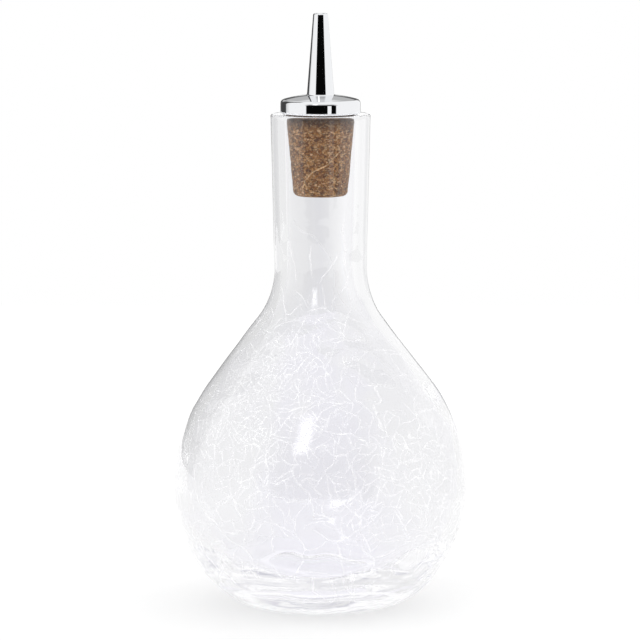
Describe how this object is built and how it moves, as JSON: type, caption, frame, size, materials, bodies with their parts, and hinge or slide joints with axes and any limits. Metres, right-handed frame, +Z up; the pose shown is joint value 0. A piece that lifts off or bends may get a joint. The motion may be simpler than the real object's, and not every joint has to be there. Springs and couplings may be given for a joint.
{
  "type": "bitters bottle",
  "caption": "Round blown crackle-glass bottle with a long neck, closed by a tapered cork that carries a domed metal cap and a slim dasher spout.",
  "frame": {"origin": "centre of the foot on the table, under the bottle's axis", "axes": "+Z up along the bottle's axis through the spout; the bottle is round, so +X and +Y are free, with +X to the right in the picture and +Y away from the camera"},
  "size_m": [0.0822, 0.0822, 0.1656],
  "materials": {
    "crackle_glass": "clear, crackled",
    "cork": "agglomerated cork, matt",
    "chromed_metal": "polished",
    "tube_steel": "plain drawn"
  },
  "bodies": {
    "bottle": {"glass_bottle": "crackle_glass"},
    "stopper": {"cork_stopper": "cork", "dome_cap": "chromed_metal", "spout": "chromed_metal", "stem_tube": "tube_steel"}
  },
  "joints": [
    {"name": "stopper_pull", "type": "slide", "parent": "bottle", "child": "stopper", "axis": [0, 0, 1], "range_m": [0, 0.05]}
  ]
}
